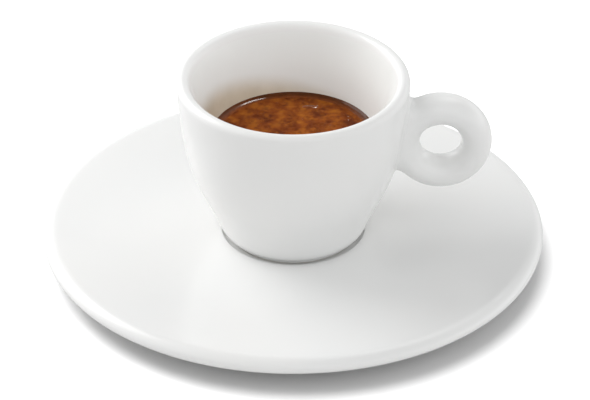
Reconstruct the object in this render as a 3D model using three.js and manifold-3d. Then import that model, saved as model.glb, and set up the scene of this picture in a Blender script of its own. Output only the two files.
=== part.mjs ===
// An espresso shot in its cup, on its saucer: a short coffee with crema, a thick-walled
// porcelain cup with a ring handle, and a nearly flat saucer with a rolled edge.
// Millimetres, +Z up. The origin is on the common axis at the table, and +X points to the handle.

import * as THREE from "three";
import { mergeVertices } from "three/addons/utils/BufferGeometryUtils.js";
import Module from "manifold-3d";

const degrees = THREE.MathUtils.degToRad;

// Saucer: heights are above the table. A pull is how far a curve keeps the way it sets out.
const SAUCER_RADIUS = 65.5;
const LIP_TOP = 10.4;
const LIP_SHOULDER = 3.6;
const LIP_NOSE_HEIGHT = 8.1;
const LIP_NOSE_ROLL = 1.4;
const LIP_NOSE_UNDER = degrees(-76);
const LEVEL_RADIUS = 21;
const LEVEL_HEIGHT = 9.6;
const WELL_RADIUS = 18.7;
const WELL_DEPTH = 1.3;
const WELL_DRAFT = 0.15;
const SHOULDER_PULL = 6;
const LEVEL_PULL = 20;
const SAUCER_FOOT_RADIUS = 37;
const SAUCER_FOOT_WIDTH = 3.4;
const SAUCER_FOOT_FLARE = 0.8;
const SAUCER_FOOT_HEIGHT = 2.6;
const SAUCER_RECESS = 3.6;
const UNDERSIDE_LEAN = degrees(2);
const UNDERSIDE_FOOT_PULL = 10;
const UNDERSIDE_LIP_PULL = 6;

// Cup body: heights are above the floor of the saucer's well, where the cup stands.
const SEAT_HEIGHT = LEVEL_HEIGHT - WELL_DEPTH;
const CUP_HEIGHT = 46.8;
const RIM_RADIUS = 30.25;
const RIM_ROLL = 1.8;
const OUTER_LEAN = degrees(4);
const OUTER_PULL = 27.7;
const INNER_LEAN = degrees(23.5);
const INNER_PULL = 21;
const BODY_BASE_RADIUS = 19.5;
const BODY_BASE_RISE = 4.1;
const BODY_BASE_LEAN = degrees(20.6);
const BODY_BASE_PULL = 15.6;
const BODY_BASE_TUCK = 0.6;
const BODY_BASE_TURN = 1.2;
const BASE_EDGE_RADIUS = 18.2;
const BASE_EDGE_RISE = 2;
const CUP_FOOT_RADIUS = 16.5;
const CUP_FOOT_FLARE = 0.1;
const CUP_FOOT_RISE = 2.1;
const CUP_FOOT_WIDTH = 3;
const CUP_RECESS = 1.8;
const CUP_FLOOR = 6.7;
const CUP_FLOOR_PULL = 21;

// Ring handle
const RING_OUTER_RADIUS = 13.35;
const RING_HOLE_RADIUS = 5.43;
const RING_THICKNESS = 10;
const RING_REACH = 38.25;
const RING_RISE = 27.9;
const RING_FILLET = 3.4;

// Drink
const DRINK_LEVEL = 29.4;
const DRINK_CLEARANCE = 0.3;

// Fineness of the round shapes
const TURN_SEGMENTS = 64;
const RING_SEGMENTS = 56;
const RING_SECTION_SEGMENTS = 18;
const STEPS = { underside: 5, nose: 4, shoulder: 6, top: 6, outer: 11, rim: 6, inner: 10, drink: 8 };
const HALVINGS = 40;
const SAME_POINT = 1e-4;

const wasm = await Module();
wasm.setup();

const point = (radius, height) => new THREE.Vector2(radius, height);
const inward = point(-1, 0);

// Points of a circular arc in a profile, from one angle to another, counter-clockwise.
function arc(centre, radius, from, to, steps) {
  return new THREE.EllipseCurve(centre.x, centre.y, radius, radius, from, to).getPoints(steps);
}

// The point of an arc at one angle, and the way the arc runs there.
function onArc(centre, radius, angle) {
  return {
    at: point(centre.x + radius * Math.cos(angle), centre.y + radius * Math.sin(angle)),
    run: point(-Math.sin(angle), Math.cos(angle)),
  };
}

// A curve between two points, each with the way the curve runs there and its pull.
function bend(start, startRun, startPull, end, endRun, endPull) {
  return new THREE.CubicBezierCurve(
    start,
    start.clone().addScaledVector(startRun, startPull),
    end.clone().addScaledVector(endRun, -endPull),
    end,
  );
}

// A body turned about the Z axis from a profile that starts and ends on that axis.
function turned(profile) {
  const apart = profile.filter((p, i) => i === 0 || p.distanceTo(profile[i - 1]) > SAME_POINT);
  return new THREE.LatheGeometry(apart, TURN_SEGMENTS).rotateX(Math.PI / 2);
}

// A geometry with its shared vertices merged, as a solid that can be joined to another.
function solidOf(geometry) {
  const bare = geometry.clone();
  bare.deleteAttribute("normal");
  bare.deleteAttribute("uv");
  const merged = mergeVertices(bare, SAME_POINT);
  return new wasm.Manifold(
    new wasm.Mesh({
      numProp: 3,
      vertProperties: new Float32Array(merged.attributes.position.array),
      triVerts: new Uint32Array(merged.index.array),
    }),
  );
}

// The geometry of a joined solid.
function geometryOf(solid) {
  const mesh = solid.getMesh();
  const geometry = new THREE.BufferGeometry();
  geometry.setAttribute("position", new THREE.BufferAttribute(mesh.vertProperties, 3));
  geometry.setIndex(new THREE.BufferAttribute(mesh.triVerts, 1));
  geometry.computeVertexNormals();
  return geometry;
}

// Saucer: a disc on a foot ring. A shallow well in its middle takes the cup's foot. Round the well
// the top is level, rises gently to the lip and rolls over a shoulder into a blunt nose.
function saucerGeometry() {
  const nose = point(SAUCER_RADIUS - LIP_NOSE_ROLL, LIP_NOSE_HEIGHT);
  const under = onArc(nose, LIP_NOSE_ROLL, LIP_NOSE_UNDER);
  const lipTop = point(SAUCER_RADIUS - LIP_SHOULDER, LIP_TOP);
  const shoulder = new THREE.EllipseCurve(
    lipTop.x,
    LIP_NOSE_HEIGHT,
    LIP_SHOULDER,
    LIP_TOP - LIP_NOSE_HEIGHT,
    0,
    Math.PI / 2,
  );
  const level = point(LEVEL_RADIUS, LEVEL_HEIGHT);
  const footInner = SAUCER_FOOT_RADIUS - SAUCER_FOOT_WIDTH;
  const footTop = point(SAUCER_FOOT_RADIUS + SAUCER_FOOT_FLARE, SAUCER_FOOT_HEIGHT);
  const outward = point(Math.cos(UNDERSIDE_LEAN), Math.sin(UNDERSIDE_LEAN));
  const underside = bend(
    footTop,
    outward,
    UNDERSIDE_FOOT_PULL,
    under.at,
    under.run,
    UNDERSIDE_LIP_PULL,
  );
  const top = bend(lipTop, inward, SHOULDER_PULL, level, inward, LEVEL_PULL);
  return turned([
    point(0, SAUCER_RECESS),
    point(footInner - 2 * SAUCER_FOOT_FLARE, SAUCER_RECESS),
    point(footInner - SAUCER_FOOT_FLARE / 2, SAUCER_RECESS - SAUCER_FOOT_FLARE),
    point(footInner, 0),
    point(SAUCER_FOOT_RADIUS, 0),
    ...underside.getPoints(STEPS.underside),
    ...arc(nose, LIP_NOSE_ROLL, LIP_NOSE_UNDER, 0, STEPS.nose),
    ...shoulder.getPoints(STEPS.shoulder),
    ...top.getPoints(STEPS.top),
    point(WELL_RADIUS, LEVEL_HEIGHT),
    point(WELL_RADIUS - WELL_DRAFT, SEAT_HEIGHT),
    point(0, SEAT_HEIGHT),
  ]);
}

// The cup's rim roll, and the two walls that meet in it.
const rim = point(RIM_RADIUS - RIM_ROLL, SEAT_HEIGHT + CUP_HEIGHT - RIM_ROLL);
const rimOuter = onArc(rim, RIM_ROLL, -OUTER_LEAN);
const rimInner = onArc(rim, RIM_ROLL, Math.PI - INNER_LEAN);
const outerWall = bend(
  point(BODY_BASE_RADIUS, SEAT_HEIGHT + BODY_BASE_RISE),
  point(Math.sin(BODY_BASE_LEAN), Math.cos(BODY_BASE_LEAN)),
  BODY_BASE_PULL,
  rimOuter.at,
  rimOuter.run,
  OUTER_PULL,
);
const innerWall = bend(
  rimInner.at,
  rimInner.run,
  INNER_PULL,
  point(0, SEAT_HEIGHT + CUP_FLOOR),
  inward,
  CUP_FLOOR_PULL,
);

// Where a wall curve passes a height. Each wall only rises or only falls, so halving finds it.
function parameterAt(wall, height) {
  const rises = wall.v3.y > wall.v0.y;
  let low = 0;
  let high = 1;
  for (let halving = 0; halving < HALVINGS; halving += 1) {
    const middle = (low + high) / 2;
    const below = wall.getPoint(middle).y < height;
    if (below === rises) low = middle;
    else high = middle;
  }
  return (low + high) / 2;
}

// Cup body: a foot ring under an overhanging base, the outer wall, the rim roll and an egg-shaped
// inside.
function cupBodyGeometry() {
  const footInner = CUP_FOOT_RADIUS - CUP_FOOT_WIDTH;
  const footTop = point(CUP_FOOT_RADIUS + CUP_FOOT_FLARE, SEAT_HEIGHT + CUP_FOOT_RISE);
  const baseEdge = point(BASE_EDGE_RADIUS, SEAT_HEIGHT + BASE_EDGE_RISE);
  const baseTurn = point(
    BODY_BASE_RADIUS - BODY_BASE_TUCK,
    SEAT_HEIGHT + BODY_BASE_RISE - BODY_BASE_TURN,
  );
  return turned([
    point(0, SEAT_HEIGHT + CUP_RECESS),
    point(footInner - CUP_RECESS / 2, SEAT_HEIGHT + CUP_RECESS),
    point(footInner, SEAT_HEIGHT),
    point(CUP_FOOT_RADIUS, SEAT_HEIGHT),
    footTop,
    baseEdge,
    baseTurn,
    ...outerWall.getPoints(STEPS.outer),
    ...arc(rim, RIM_ROLL, -OUTER_LEAN, Math.PI - INNER_LEAN, STEPS.rim),
    ...innerWall.getPoints(STEPS.inner),
  ]);
}

// Distance of a point from the cup's outer wall, along the wall's normal.
function wallDistance(p) {
  const t = parameterAt(outerWall, p.z);
  const run = outerWall.getTangent(t);
  return (Math.hypot(p.x, p.y) - outerWall.getPoint(t).x) * run.y;
}

// How far the ring's skin swells near the wall, so that the two run together in a soft fillet.
function filletSwell(p) {
  const nearness = THREE.MathUtils.clamp(1 - wallDistance(p) / RING_FILLET, 0, 1);
  return (RING_FILLET / 2) * nearness ** 2;
}

// Ring handle: a fat ring that stands in the plane of the axis and runs into the wall.
function ringGeometry() {
  const halfWidth = (RING_OUTER_RADIUS - RING_HOLE_RADIUS) / 2;
  const geometry = new THREE.TorusGeometry(
    RING_HOLE_RADIUS + halfWidth,
    halfWidth,
    RING_SECTION_SEGMENTS,
    RING_SEGMENTS,
  );
  geometry.scale(1, 1, RING_THICKNESS / 2 / halfWidth);
  geometry.rotateX(Math.PI / 2);
  geometry.translate(RING_REACH, 0, SEAT_HEIGHT + RING_RISE);
  const positions = geometry.attributes.position;
  const normals = geometry.attributes.normal;
  for (let i = 0; i < positions.count; i += 1) {
    const p = new THREE.Vector3().fromBufferAttribute(positions, i);
    const normal = new THREE.Vector3().fromBufferAttribute(normals, i).normalize();
    p.addScaledVector(normal, filletSwell(p));
    positions.setXYZ(i, p.x, p.y, p.z);
  }
  return geometry;
}

// Drink: fills the inside up to its level, a hair's breadth off the wall.
function drinkGeometry() {
  const level = SEAT_HEIGHT + DRINK_LEVEL;
  const top = parameterAt(innerWall, level);
  const wall = [];
  for (let i = 0; i <= STEPS.drink; i += 1) {
    const t = 1 - (1 - top) * (i / STEPS.drink);
    const run = innerWall.getTangent(t);
    wall.push(innerWall.getPoint(t).addScaledVector(point(run.y, -run.x), DRINK_CLEARANCE));
  }
  wall[0].x = 0;
  wall[STEPS.drink].y = level;
  return turned([...wall, point(0, level)]);
}

function porcelain() {
  return new THREE.MeshStandardMaterial({ color: 0xf3f2ee, roughness: 0.22, metalness: 0 });
}

function crema() {
  return new THREE.MeshStandardMaterial({ color: 0x84481f, roughness: 0.35, metalness: 0 });
}

function piece(name, geometry, material) {
  const mesh = new THREE.Mesh(geometry, material);
  mesh.name = name;
  return mesh;
}

const cup = solidOf(cupBodyGeometry()).add(solidOf(ringGeometry()));

const shot = new THREE.Group();
shot.add(piece("saucer", saucerGeometry(), porcelain()));
shot.add(piece("cup", geometryOf(cup), porcelain()));
shot.add(piece("espresso", drinkGeometry(), crema()));

export default shot;
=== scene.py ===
# An espresso in its porcelain cup, standing on its saucer. The sections follow the object from the
# table up: saucer, cup, ring handle, drink and bubbles, and then the table, light and camera.

import math
import random

import bmesh
import bpy
from mathutils import Matrix, Vector, geometry, noise


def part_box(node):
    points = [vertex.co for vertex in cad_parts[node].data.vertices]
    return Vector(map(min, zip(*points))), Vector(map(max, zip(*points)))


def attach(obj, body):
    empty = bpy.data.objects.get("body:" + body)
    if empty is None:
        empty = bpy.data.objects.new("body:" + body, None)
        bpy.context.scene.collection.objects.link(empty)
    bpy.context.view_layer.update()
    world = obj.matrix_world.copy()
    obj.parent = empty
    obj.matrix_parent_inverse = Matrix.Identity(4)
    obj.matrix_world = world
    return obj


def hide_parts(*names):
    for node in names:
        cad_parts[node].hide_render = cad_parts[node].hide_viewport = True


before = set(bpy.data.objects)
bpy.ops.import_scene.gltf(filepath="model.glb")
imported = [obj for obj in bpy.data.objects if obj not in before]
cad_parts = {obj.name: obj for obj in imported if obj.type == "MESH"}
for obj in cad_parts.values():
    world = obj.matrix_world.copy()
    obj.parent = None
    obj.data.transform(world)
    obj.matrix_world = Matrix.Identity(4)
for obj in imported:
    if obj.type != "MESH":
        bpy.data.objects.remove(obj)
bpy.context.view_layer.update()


# Saucer
# A thick disc of white porcelain, pressed and turned on a mould, so one profile gives the foot
# ring, the rolled edge, the gently dished top and the well for the cup's foot. It is dipped in
# clear glaze, and the foot ring is wiped bare so that it doesn't stick to the kiln shelf.
mm = 0.001
weld = 0.002 * mm
upwards = 90
inwards = 180
quarter_turn = 90
saucer_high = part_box("saucer")[1]
seat_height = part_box("cup")[0].z
well_depth = 1.3 * mm
well_radius = 18.7 * mm
well_floor_radius = 18.55 * mm
level_height = seat_height + well_depth
level_radius = 21 * mm
level_pull = 20 * mm
lip_top = 10.4 * mm
lip_shoulder = 3.6 * mm
shoulder_pull = 6 * mm
nose_height = 8.1 * mm
nose_roll = 1.4 * mm
nose_under = -76
nose_pull = 6 * mm
foot_outside = 37 * mm
foot_inside = 33.6 * mm
foot_height = 2.6 * mm
foot_flare = 0.8 * mm
foot_pull = 10 * mm
underside_rise = 2
recess_height = 3.6 * mm
recess_slope = 1.6 * mm
wiped_height = 0.65 * mm
bare_slot = 1
thin_white = (0.85, 0.85, 0.84)
thick_white = (0.83, 0.835, 0.83)


def profile_point(radius, height):
    """A point of a profile, in the upright plane through the handle."""
    return Vector((radius, 0, height))


def heading(degrees):
    """The way a profile runs, as an angle above straight outwards."""
    return profile_point(math.cos(math.radians(degrees)), math.sin(math.radians(degrees)))


def roll(centre, radius, first, last, steps, squash=1):
    """A rounded edge: points on an arc between two angles in degrees, its height squashed."""
    turns = [first + (last - first) * step / steps for step in range(steps + 1)]
    return [centre + radius * heading(turn) * profile_point(1, squash) for turn in turns]


def bend(start, start_heading, start_pull, end, end_heading, end_pull, steps):
    """A curve between two points that keeps each end's heading for about the length of its pull."""
    leaving = start + start_pull * heading(start_heading)
    arriving = end - end_pull * heading(end_heading)
    return geometry.interpolate_bezier(start, leaving, arriving, end, steps + 1)


def turned(outline, corners, steps):
    """A body turned about the upright axis. Corners are outline points, each with its softening."""
    form = bmesh.new()
    verts = [form.verts.new(point) for point in outline]
    for pair in zip(verts, verts[1:]):
        form.edges.new(pair)
    for corner, softness in corners:
        bmesh.ops.bevel(form, geom=[verts[outline.index(corner)]], offset=softness, segments=5,
                        profile=0.5, affect="VERTICES", material=-1)
    bmesh.ops.spin(form, geom=form.verts[:] + form.edges[:], cent=(0, 0, 0), axis=(0, 0, 1),
                   angle=2 * math.pi, steps=steps, use_merge=True)
    bmesh.ops.remove_doubles(form, verts=form.verts[:], dist=weld)
    bmesh.ops.recalc_face_normals(form, faces=form.faces[:])
    return form


def bare_below(form, height):
    """Faces wholly below a height take the second material, the unglazed one."""
    for face in form.faces:
        if max(vert.co.z for vert in face.verts) < height:
            face.material_index = bare_slot


def piece(name, form, *materials):
    """A finished form as an object at the origin, smooth all over."""
    for face in form.faces:
        face.smooth = True
    mesh = bpy.data.meshes.new(name)
    form.to_mesh(mesh)
    form.free()
    for material in materials:
        mesh.materials.append(material)
    made = bpy.data.objects.new(name, mesh)
    bpy.context.scene.collection.objects.link(made)
    return made


def new_finish(name):
    """A new material, with its node tree and its shader."""
    finish = bpy.data.materials.new(name)
    finish.use_nodes = True
    return finish, finish.node_tree, finish.node_tree.nodes["Principled BSDF"]


def cloud(tree, waves_per_metre, detail):
    """Soft noise fixed to the piece, with a given fineness."""
    place = tree.nodes.new("ShaderNodeTexCoord")
    pattern = tree.nodes.new("ShaderNodeTexNoise")
    pattern.inputs["Scale"].default_value = waves_per_metre
    pattern.inputs["Detail"].default_value = detail
    tree.links.new(place.outputs["Object"], pattern.inputs["Vector"])
    return pattern.outputs["Fac"]


def tones(tree, amount, *stops):
    """Colours along an amount, each stop an amount and a colour."""
    ramp = tree.nodes.new("ShaderNodeValToRGB")
    elements = ramp.color_ramp.elements
    while len(elements) < len(stops):
        elements.new(1)
    for element, (position, colour) in zip(elements, stops):
        element.position = position
        element.color = (*colour, 1)
    tree.links.new(amount, ramp.inputs["Fac"])
    return ramp.outputs["Color"]


def between(tree, amount, low, high, start=1 / 3, end=2 / 3):
    """A number that goes from low to high as an amount goes from start to end."""
    spread = tree.nodes.new("ShaderNodeMapRange")
    spread.interpolation_type = "SMOOTHSTEP"
    spread.inputs["From Min"].default_value = start
    spread.inputs["From Max"].default_value = end
    spread.inputs["To Min"].default_value = low
    spread.inputs["To Max"].default_value = high
    tree.links.new(amount, spread.inputs["Value"])
    return spread.outputs["Result"]


def relief(tree, amount, depth, under=None):
    """Surface relief of a given depth, laid over a coarser relief if there is one."""
    bump = tree.nodes.new("ShaderNodeBump")
    bump.inputs["Distance"].default_value = depth
    tree.links.new(amount, bump.inputs["Height"])
    if under:
        tree.links.new(under, bump.inputs["Normal"])
    return bump.outputs["Normal"]


def porcelain_glaze(name, thin_glaze, thick_glaze):
    """White porcelain under clear glaze, which runs a little thicker here and thinner there."""
    finish, tree, shader = new_finish(name)
    flow = cloud(tree, waves_per_metre=22, detail=2)
    bloom = cloud(tree, waves_per_metre=75, detail=3)
    ripple = cloud(tree, waves_per_metre=95, detail=1)
    pinholes = cloud(tree, waves_per_metre=800, detail=1)
    glaze = tones(tree, flow, (0.35, thin_glaze), (0.65, thick_glaze))
    waviness = relief(tree, ripple, depth=0.02 * mm)
    skin = relief(tree, pinholes, depth=0.0006 * mm, under=waviness)
    tree.links.new(glaze, shader.inputs["Base Color"])
    tree.links.new(between(tree, bloom, low=0.19, high=0.25), shader.inputs["Roughness"])
    tree.links.new(skin, shader.inputs["Normal"])
    shader.inputs["IOR"].default_value = 1.52
    return finish


def bare_porcelain(name):
    """The wiped foot ring: dry, faintly warm and as fine as an eggshell."""
    finish, tree, shader = new_finish(name)
    grain = cloud(tree, waves_per_metre=3200, detail=4)
    clay = tones(tree, grain, (0.3, (0.66, 0.63, 0.58)), (0.7, (0.76, 0.74, 0.69)))
    tree.links.new(clay, shader.inputs["Base Color"])
    tree.links.new(between(tree, grain, low=0.62, high=0.8), shader.inputs["Roughness"])
    tree.links.new(relief(tree, grain, depth=0.03 * mm), shader.inputs["Normal"])
    return finish


recess_corner = profile_point(foot_inside - recess_slope, recess_height)
foot_corners = [profile_point(foot_inside, 0), profile_point(foot_outside, 0)]
foot_top = profile_point(foot_outside + foot_flare, foot_height)
nose_centre = profile_point(saucer_high.x - nose_roll, nose_height)
nose = roll(nose_centre, nose_roll, nose_under, 0, steps=12)
nose_heading = nose_under + quarter_turn
underside = bend(foot_top, underside_rise, foot_pull, nose[0], nose_heading, nose_pull, steps=18)
shoulder_centre = profile_point(saucer_high.x - lip_shoulder, nose_height)
shoulder_squash = (lip_top - nose_height) / lip_shoulder
shoulder = roll(shoulder_centre, lip_shoulder, 0, quarter_turn, steps=18, squash=shoulder_squash)
level = profile_point(level_radius, level_height)
top = bend(shoulder[-1], inwards, shoulder_pull, level, inwards, level_pull, steps=24)
well_edge = profile_point(well_radius, level_height)
well_corner = profile_point(well_floor_radius, seat_height)
saucer_outline = [
    profile_point(0, recess_height),
    recess_corner,
    *foot_corners,
    *underside,
    *nose[1:],
    *shoulder[1:],
    *top[1:],
    well_edge,
    well_corner,
    profile_point(0, seat_height),
]
saucer_corners = [
    (recess_corner, 0.9 * mm),
    (foot_corners[0], 0.6 * mm),
    (foot_corners[1], 0.6 * mm),
    (foot_top, 0.7 * mm),
    (well_edge, 0.3 * mm),
    (well_corner, 0.3 * mm),
]
saucer_form = turned(saucer_outline, saucer_corners, steps=256)
bare_below(saucer_form, wiped_height)
saucer = piece(
    "saucer_porcelain",
    saucer_form,
    porcelain_glaze("saucer_glaze", thin_white, thick_white),
    bare_porcelain("saucer_foot"),
)
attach(saucer, "root")
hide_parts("saucer")


# Cup
# A thick-walled cup of the same porcelain, slip cast: the outside is turned to a bowl on a small
# foot ring, the inside is egg-shaped, and the wall is rounded over into a fat rim. The glaze pools
# inside, where it looks a touch greener, and there it is painted a little lighter than outside, as
# painted light on the inner wall.
cup_low, cup_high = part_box("cup")
cup_foot_radius = 16.5 * mm
cup_foot_inside = cup_foot_radius - 3 * mm
cup_foot_flare = 0.1 * mm
cup_recess_height = 1.8 * mm
cup_recess_slope = 0.9 * mm
cup_wiped_height = 0.5 * mm
base_lean = 20.6
base_pull = 15.6 * mm
rim_roll = 1.8 * mm
rim_outside = -4
rim_pull = 27.7 * mm
inner_lean = 23.5
inner_pull = 21 * mm
rim_inside = inwards - inner_lean
rim_soft_depth = 7 * mm
rim_soft_wipes = 24
inside_slot = 2
# Inside glaze colours, a little lighter than outside: painted light on the inner wall.
thin_inside_lit = (0.855, 0.865, 0.85)
thick_inside_lit = (0.84, 0.855, 0.845)


def cup_point(radius, height):
    """A point of the cup's profile, its height counted from the cup's own foot."""
    return profile_point(radius, seat_height + height)


cup_recess_corner = cup_point(cup_foot_inside - cup_recess_slope, cup_recess_height)
cup_foot_corners = [cup_point(cup_foot_inside, 0), cup_point(cup_foot_radius, 0)]
cup_foot_top = cup_point(cup_foot_radius + cup_foot_flare, 2.1 * mm)
base_edge = cup_point(18.2 * mm, 2 * mm)
base_turn = cup_point(18.9 * mm, 2.9 * mm)
body_base = cup_point(19.5 * mm, 4.1 * mm)
cup_floor = cup_point(0, 6.7 * mm)
rim_centre = profile_point(-cup_low.x - rim_roll, cup_high.z - rim_roll)
rim = roll(rim_centre, rim_roll, rim_outside, rim_inside, steps=20)
outer_wall = bend(
    body_base, upwards - base_lean, base_pull,
    rim[0], rim_outside + quarter_turn, rim_pull, steps=64,
)
inner_wall = bend(
    rim[-1], rim_inside + quarter_turn, inner_pull,
    cup_floor, inwards, inner_pull, steps=48,
)
cup_outline = [
    cup_point(0, cup_recess_height),
    cup_recess_corner,
    *cup_foot_corners,
    cup_foot_top,
    base_edge,
    base_turn,
    *outer_wall,
    *rim[1:],
    *inner_wall[1:],
]
cup_corners = [
    (cup_recess_corner, 0.7 * mm),
    (cup_foot_corners[0], 0.4 * mm),
    (cup_foot_corners[1], 0.4 * mm),
    (cup_foot_top, 0.5 * mm),
    (base_edge, 0.3 * mm),
    (base_turn, 0.5 * mm),
]


def wall_gap(point):
    """How far a point stands off the cup's outer wall."""
    for low, high in zip(outer_wall, outer_wall[1:]):
        if low.z <= point.z <= high.z:
            wall_radius = low.lerp(high, (point.z - low.z) / (high.z - low.z)).x
            upright = (high - low).normalized().z
            return (math.hypot(point.x, point.y) - wall_radius) * upright
    return math.inf


def sponge(form, verts, wipes):
    """Smooths part of a form, as a damp sponge does on raw clay."""
    for wipe in range(wipes):
        bmesh.ops.smooth_vert(form, verts=verts, factor=0.5,
                              use_axis_x=True, use_axis_y=True, use_axis_z=True)


cup_form = turned(cup_outline, cup_corners, steps=288)
bare_below(cup_form, seat_height + cup_wiped_height)
rim_inner_edge = [vert for vert in cup_form.verts
                  if vert.co.z > cup_high.z - rim_soft_depth
                  and math.hypot(vert.co.x, vert.co.y) < rim_centre.x]
sponge(cup_form, rim_inner_edge, rim_soft_wipes)
for face in cup_form.faces:
    if wall_gap(face.calc_center_median()) < -rim_roll:
        face.material_index = inside_slot
cup_glaze = porcelain_glaze("cup_glaze", thin_white, thick_white)
# The inside glaze is a lighter copy of the outside glaze, as painted light on the inner wall.
lit_inside_glaze = porcelain_glaze("cup_inside_glaze", thin_inside_lit, thick_inside_lit)
cup = piece("cup_porcelain", cup_form, cup_glaze, bare_porcelain("cup_foot"), lit_inside_glaze)


# Ring handle
# A fat ring of porcelain, cast apart and stuck to the raw cup with slip, so that its skin flares
# out and runs into the wall all round. Cup and ring share one glaze.
ring_width = 3.96 * mm
ring_thickness = 5 * mm
ring_centre_line = 9.39 * mm
ring_height = 27.9 * mm
ring_centre = cup_point(cup_high.x - ring_centre_line - ring_width, ring_height)
ring_section = ring_centre + profile_point(ring_centre_line, 0)
fillet = 3.4 * mm
seam_depth = 0.3 * mm
seam_weld = 0.01 * mm


def ring_gap(point):
    """How far a point stands off the plain ring, before its skin flares out."""
    offset = point - ring_centre
    across = math.hypot(offset.x, offset.z) - ring_centre_line
    along = offset.y * ring_width / ring_thickness
    return math.hypot(across, along) - ring_width


ring_form = bmesh.new()
bmesh.ops.create_circle(ring_form, segments=48, radius=ring_width)
bmesh.ops.scale(ring_form, vec=(1, ring_thickness / ring_width, 1), verts=ring_form.verts[:])
bmesh.ops.translate(ring_form, vec=ring_section, verts=ring_form.verts[:])
bmesh.ops.spin(ring_form, geom=ring_form.verts[:] + ring_form.edges[:], cent=ring_centre,
               axis=(0, 1, 0), angle=2 * math.pi, steps=128, use_merge=True)
bmesh.ops.remove_doubles(ring_form, verts=ring_form.verts[:], dist=weld)
bmesh.ops.recalc_face_normals(ring_form, faces=ring_form.faces[:])
ring_form.normal_update()
for vert in ring_form.verts:
    nearness = min(max(1 - wall_gap(vert.co) / fillet, 0), 1)
    vert.co += vert.normal * (fillet / 2) * nearness ** 2
ring = piece("ring_handle", ring_form, cup_glaze)

joint = cup.modifiers.new("slip joint", "BOOLEAN")
joint.operation = "UNION"
joint.solver = "EXACT"
joint.object = ring
shown_cup = cup.evaluated_get(bpy.context.evaluated_depsgraph_get())
joined_cup = bpy.data.meshes.new_from_object(shown_cup)
cup.modifiers.remove(joint)
bpy.data.objects.remove(ring)

joined_form = bmesh.new()
joined_form.from_mesh(joined_cup)
bmesh.ops.remove_doubles(joined_form, verts=joined_form.verts[:], dist=seam_weld)
many_sided = [face for face in joined_form.faces if len(face.verts) > 4]
bmesh.ops.triangulate(joined_form, faces=many_sided)
for reach, wipes in ((2.6 * mm, 6), (1.8 * mm, 10), (1.1 * mm, 12)):
    seam = [vert for vert in joined_form.verts
            if ring_gap(vert.co) < fillet / 2 + reach and -seam_depth < wall_gap(vert.co) < reach]
    sponge(joined_form, seam, wipes)
for face in joined_form.faces:
    face.smooth = True
joined_form.to_mesh(cup.data)
joined_form.free()
bpy.data.meshes.remove(joined_cup)
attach(cup, "root")
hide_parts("cup")


# Espresso
# The drink fills the inside of the cup up to its level, and its skin climbs the wall in a thin
# dark ring. The crema on top is a fine foam, uneven where it has begun to break up, and a film of
# coffee is left on the wall just above it. The film is also painted shade and painted warm light
# bounced off the crema, heavier on the shaded side away from the handle.
contact_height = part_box("espresso")[1].z
climb = 1 * mm
climb_width = 3.6 * mm
climb_heading = 235
climb_pull = 0.7 * mm
crema_pull = 1.9 * mm
crema_rings = 56
crema_depth = 0.2 * mm
into_wall = 0.15 * mm
bare_width = 0.4 * mm
wet_width = 1.8 * mm
wet_slot = 1
fade_width = 1.5 * mm
swell_width = 2.6 * mm
swell_height = 0.06 * mm
froth_width = 0.8 * mm
froth_height = 0.03 * mm
level_slack = 0.01 * mm
coffee_ior = 1.34
dark_foam = (0.088, 0.018, 0.005)
red_foam = (0.160, 0.034, 0.006)
brown_foam = (0.220, 0.053, 0.008)
tan_foam = (0.340, 0.105, 0.013)
dark_fleck = (0.088, 0.020, 0.006)
tan_fleck = (0.310, 0.090, 0.011)
dark_skin = (0.150, 0.038, 0.008)
pale_skin = (0.210, 0.052, 0.009)
dark_coffee = (0.080, 0.025, 0.008)
pale_coffee = (0.110, 0.032, 0.010)
# Film colours: a coffee film that is also painted shade and painted warm bounce light from the
# crema.
thick_film_and_shade = (0.63, 0.56, 0.44)
thin_film_and_shade = (0.68, 0.61, 0.49)

drink_level = contact_height - climb
wetted = [point for point in reversed(inner_wall) if point.z < drink_level]
above_level = inner_wall[len(inner_wall) - len(wetted) - 1]
share = (contact_height - wetted[-1].z) / (above_level.z - wetted[-1].z)
contact = wetted[-1].lerp(above_level, share)
wet_edge = contact.x - wet_width
crema_edge = profile_point(contact.x - climb_width, drink_level)
crema_middle = profile_point(0, drink_level)
climbing = bend(contact, climb_heading, climb_pull, crema_edge, inwards, crema_pull, steps=16)
crema_line = [crema_edge.lerp(crema_middle, step / crema_rings) for step in range(crema_rings + 1)]
wall_lap = profile_point(into_wall, 0)
drink_outline = [
    profile_point(0, wetted[0].z),
    *[point + wall_lap for point in wetted[1:]],
    contact + wall_lap,
    *climbing[1:],
    *crema_line[1:],
]
drink_form = turned(drink_outline, [], steps=360)
for vert in drink_form.verts:
    reach = math.hypot(vert.co.x, vert.co.y)
    if vert.co.z > drink_level - level_slack and reach < crema_edge.x:
        fade = min((crema_edge.x - reach) / fade_width, 1)
        swell = noise.noise(vert.co / swell_width) * swell_height
        froth = noise.noise(vert.co / froth_width) * froth_height
        vert.co.z += fade * (swell + froth)
for face in drink_form.faces:
    middle = face.calc_center_median()
    if math.hypot(middle.x, middle.y) > wet_edge or middle.z < drink_level - crema_depth:
        face.material_index = wet_slot


def from_axis(tree):
    """The distance of each spot of a piece from the upright axis."""
    place = tree.nodes.new("ShaderNodeTexCoord")
    flat = tree.nodes.new("ShaderNodeVectorMath")
    flat.operation = "MULTIPLY"
    flat.inputs[1].default_value = (1, 1, 0)
    distance = tree.nodes.new("ShaderNodeVectorMath")
    distance.operation = "LENGTH"
    tree.links.new(place.outputs["Object"], flat.inputs[0])
    tree.links.new(flat.outputs["Vector"], distance.inputs[0])
    return distance.outputs["Value"]


def blended(tree, amount, first, second):
    """Two colours, the second laid over the first by an amount."""
    mix = tree.nodes.new("ShaderNodeMix")
    mix.data_type = "RGBA"
    tree.links.new(amount, mix.inputs[0])
    tree.links.new(first, mix.inputs[6])
    tree.links.new(second, mix.inputs[7])
    return mix.outputs[2]


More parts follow.
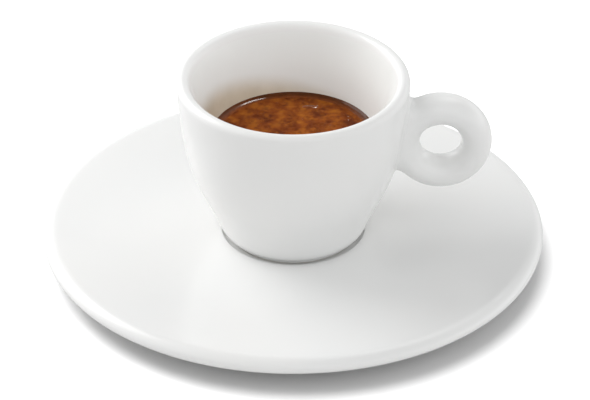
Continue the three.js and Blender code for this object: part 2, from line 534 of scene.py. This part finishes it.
def crema_foam(name):
    """Reddish brown foam with soft flecks."""
    finish, tree, shader = new_finish(name)
    patches = cloud(tree, waves_per_metre=240, detail=3)
    specks = cloud(tree, waves_per_metre=700, detail=2)
    drifts = cloud(tree, waves_per_metre=330, detail=1)
    pores = cloud(tree, waves_per_metre=2600, detail=3)
    foam = tones(
        tree,
        patches,
        (0.32, dark_foam),
        (0.44, red_foam),
        (0.54, brown_foam),
        (0.66, tan_foam),
    )
    flecks = tones(tree, specks, (0.36, dark_fleck), (0.64, tan_fleck))
    dotted = blended(tree, between(tree, drifts, low=0.1, high=0.55), foam, flecks)
    tree.links.new(dotted, shader.inputs["Base Color"])
    tree.links.new(between(tree, patches, low=0.25, high=0.4), shader.inputs["Roughness"])
    tree.links.new(relief(tree, pores, depth=0.02 * mm), shader.inputs["Normal"])
    shader.inputs["IOR"].default_value = coffee_ior
    shader.inputs["Specular IOR Level"].default_value = 0.06
    return finish


def wet_coffee(name, foam_edge, bare_edge, shine):
    """Wet coffee under a thin skin of crema, which ends in a dark bare ring beside the wall."""
    finish, tree, shader = new_finish(name)
    oil = cloud(tree, waves_per_metre=600, detail=2)
    skin = tones(tree, oil, (0.35, dark_skin), (0.65, pale_skin))
    bare = tones(tree, oil, (0.35, dark_coffee), (0.65, pale_coffee))
    edge = between(tree, from_axis(tree), low=0, high=1, start=foam_edge, end=bare_edge)
    tree.links.new(blended(tree, edge, skin, bare), shader.inputs["Base Color"])
    tree.links.new(between(tree, oil, low=0.06, high=0.12), shader.inputs["Roughness"])
    shader.inputs["IOR"].default_value = coffee_ior
    shader.inputs["Specular IOR Level"].default_value = shine
    return finish


def film_and_shade_on_wall(finish, low, high, tilt):
    """A tan coffee film with painted shade and painted warm light bounced off the crema, fading out
    between two heights, which fall off to the handle's side, so it lies heavier on the shaded side.
    """
    tree = finish.node_tree
    wall_colour = tree.nodes["Principled BSDF"].inputs["Base Color"]
    bare_wall = wall_colour.links[0].from_socket
    streaks = cloud(tree, waves_per_metre=180, detail=2)
    film_and_shade = tones(tree, streaks, (0.35, thick_film_and_shade), (0.65, thin_film_and_shade))
    place = tree.nodes.new("ShaderNodeTexCoord")
    tilted = tree.nodes.new("ShaderNodeVectorMath")
    tilted.operation = "DOT_PRODUCT"
    tilted.inputs[1].default_value = (tilt, 0, 1)
    tree.links.new(place.outputs["Object"], tilted.inputs[0])
    amount = between(tree, tilted.outputs["Value"], low=1, high=0, start=low, end=high)
    tree.links.new(blended(tree, amount, bare_wall, film_and_shade), wall_colour)


# The film paints shade on the inner wall: heavier on the shaded left, fainter on the lit handle
# side.
film_and_shade_on_wall(
    lit_inside_glaze,
    low=contact_height - 1.5 * mm,
    high=contact_height + 4.5 * mm,
    tilt=0.2,
)
espresso = piece(
    "espresso_crema",
    drink_form,
    crema_foam("crema_foam"),
    wet_coffee("wet_coffee", wet_edge, contact.x - bare_width, shine=0.25),
)
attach(espresso, "root")
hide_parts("espresso")


# Bubbles
# Coarse bubbles that have come up through the crema and not burst yet: one wide flat one towards
# the back, and a scatter of small ones, most of them drawn to the wall as bubbles are.
small_bubbles = 26
smallest_radius = 0.12 * mm
largest_radius = 0.3 * mm
stray_share = 0.55
bubble_sink = 0.25
bubble_squat = 0.45
bubble_draw = random.Random(11)
bubble_form = bmesh.new()


def bubble(along, across, radius, stretch=1):
    """A squat dome that stands out of the crema, longer along X by a stretch."""
    sunk = Vector((along, across, drink_level - bubble_sink * radius))
    squat = Matrix.Diagonal((stretch, 1, bubble_squat, 1))
    bmesh.ops.create_uvsphere(bubble_form, u_segments=20, v_segments=12, radius=radius,
                              matrix=Matrix.Translation(sunk) @ squat)


bubble(along=4.45 * mm, across=15.4 * mm, radius=1.2 * mm, stretch=2.2)
for small in range(small_bubbles):
    turn = bubble_draw.uniform(0, 2 * math.pi)
    reach = crema_edge.x * (1 - stray_share * bubble_draw.random() ** 2)
    radius = bubble_draw.uniform(smallest_radius, largest_radius)
    bubble(reach * math.cos(turn), reach * math.sin(turn), radius)
bubble_skin = wet_coffee("bubble_skin", crema_edge.x, contact.x, shine=1)
bubbles = piece("crema_bubbles", bubble_form, bubble_skin)
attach(bubbles, "root")


# Table
# A plain white table top, wide enough to fill the picture from every side. It is seen brighter than
# it lights the cup from below, as if dark cards stood round the set.
table_radius = 4
table_seen = (0.8, 0.8, 0.8)
table_bounce = (0.39, 0.39, 0.39)
table_form = bmesh.new()
bmesh.ops.create_circle(table_form, cap_ends=True, segments=96, radius=table_radius)
table_finish, table_tree, table_shader = new_finish("white_table")
table_ray = table_tree.nodes.new("ShaderNodeLightPath")
seen = table_ray.outputs["Is Camera Ray"]
table_white = tones(table_tree, seen, (0, table_bounce), (1, table_seen))
table_tree.links.new(table_white, table_shader.inputs["Base Color"])
table_shader.inputs["Roughness"].default_value = 0.8
table_shader.inputs["Specular IOR Level"].default_value = 0
table = piece("table_top", table_form, table_finish)


# Studio light
# A white room that glows softly from several sides, with a near soft light at the left and a
# farther one behind. Two lamps are screened: one overhead that only whitens the table, and one
# behind that only puts the glints in the drink.
light_aim = Vector((0, 0, 25 * mm))
glow_tightness = 6


def bearing(azimuth, elevation):
    """A direction, by its angle from straight behind towards the handle, and its rise."""
    turn = math.radians(azimuth)
    rise = math.radians(elevation)
    level_part = math.cos(rise)
    return Vector((math.sin(turn) * level_part, math.cos(turn) * level_part, math.sin(rise)))


def soft_light(name, azimuth, elevation, distance, size, power):
    """A round soft light that faces the cup."""
    lamp = bpy.data.lights.new(name, "AREA")
    lamp.shape = "DISK"
    lamp.size = size
    lamp.energy = power
    made = bpy.data.objects.new(name, lamp)
    direction = bearing(azimuth, elevation)
    made.location = light_aim + distance * direction
    made.rotation_euler = direction.to_track_quat("Z", "Y").to_euler()
    made.visible_camera = False
    bpy.context.scene.collection.objects.link(made)
    return made


def screened(lamp, name, *lit):
    """Keeps a lamp's light off everything but the pieces that are lit."""
    receivers = bpy.data.collections.new(name)
    for lit_piece in lit:
        receivers.objects.link(lit_piece)
    lamp.light_linking.receiver_collection = receivers


room = bpy.data.worlds.new("white_room")
room.use_nodes = True
room_tree = room.node_tree
room_place = room_tree.nodes.new("ShaderNodeTexCoord")
bpy.context.scene.world = room


def reckon(operation, first, second):
    """One step of arithmetic on the room's glow, on an output and a number or another output."""
    step = room_tree.nodes.new("ShaderNodeMath")
    step.operation = operation
    room_tree.links.new(first, step.inputs[0])
    if isinstance(second, bpy.types.NodeSocket):
        room_tree.links.new(second, step.inputs[1])
    else:
        step.inputs[1].default_value = second
    return step.outputs["Value"]


def glow(azimuth, elevation, strength):
    """One side of the room, brightest at its middle and dark a quarter turn away."""
    facing = room_tree.nodes.new("ShaderNodeVectorMath")
    facing.operation = "DOT_PRODUCT"
    facing.inputs[1].default_value = bearing(azimuth, elevation)
    room_tree.links.new(room_place.outputs["Generated"], facing.inputs[0])
    spread = reckon("POWER", reckon("MAXIMUM", facing.outputs["Value"], 0), glow_tightness)
    return reckon("MULTIPLY", spread, strength)


left_side = glow(azimuth=270, elevation=30, strength=1.15)
front_right = glow(azimuth=135, elevation=30, strength=0.85)
right_side = glow(azimuth=90, elevation=5, strength=1.3)
front_side = glow(azimuth=180, elevation=30, strength=0.95)
front_top = glow(azimuth=180, elevation=60, strength=0.5)
back_left = glow(azimuth=315, elevation=5, strength=2.7)
back_right = glow(azimuth=45, elevation=5, strength=1.5)
room_light = left_side
for side in (front_right, right_side, front_side, front_top, back_left, back_right):
    room_light = reckon("ADD", room_light, side)
room_tree.nodes["Background"].inputs["Color"].default_value = (1, 1, 1, 1)
room_tree.links.new(room_light, room_tree.nodes["Background"].inputs["Strength"])

soft_light("left_light", azimuth=300, elevation=40, distance=0.5, size=0.35, power=1.15)
soft_light("back_light", azimuth=30, elevation=54, distance=1, size=0.5, power=0.8)
table_lamp = soft_light("table_lamp", azimuth=275, elevation=76, distance=1.5, size=1.5, power=30)
drink_lamp = soft_light("drink_lamp", azimuth=32, elevation=61, distance=1, size=0.2, power=3)
screened(table_lamp, "table_only", table)
screened(drink_lamp, "drink_only", espresso, bubbles)


# Camera
# A long lens that looks down on the cup from the front, with the handle to the right. It stands
# where the circles of saucer, rim, drink and foot look as they do in the photograph.
camera_rise = math.radians(32.53)
camera_aim = Vector((0.44 * mm, 0, 17.49 * mm))
camera_distance = 1278.7 * mm
camera_side = Vector((0, -math.cos(camera_rise), math.sin(camera_rise)))
lens = bpy.data.cameras.new("camera")
lens.sensor_width = 36
lens.lens = 298.1
camera = bpy.data.objects.new("camera", lens)
camera.location = camera_aim + camera_distance * camera_side
camera.rotation_euler = (math.pi / 2 - camera_rise, 0, 0)
bpy.context.scene.collection.objects.link(camera)
bpy.context.scene.camera = camera
bpy.context.scene.view_settings.view_transform = "Standard"
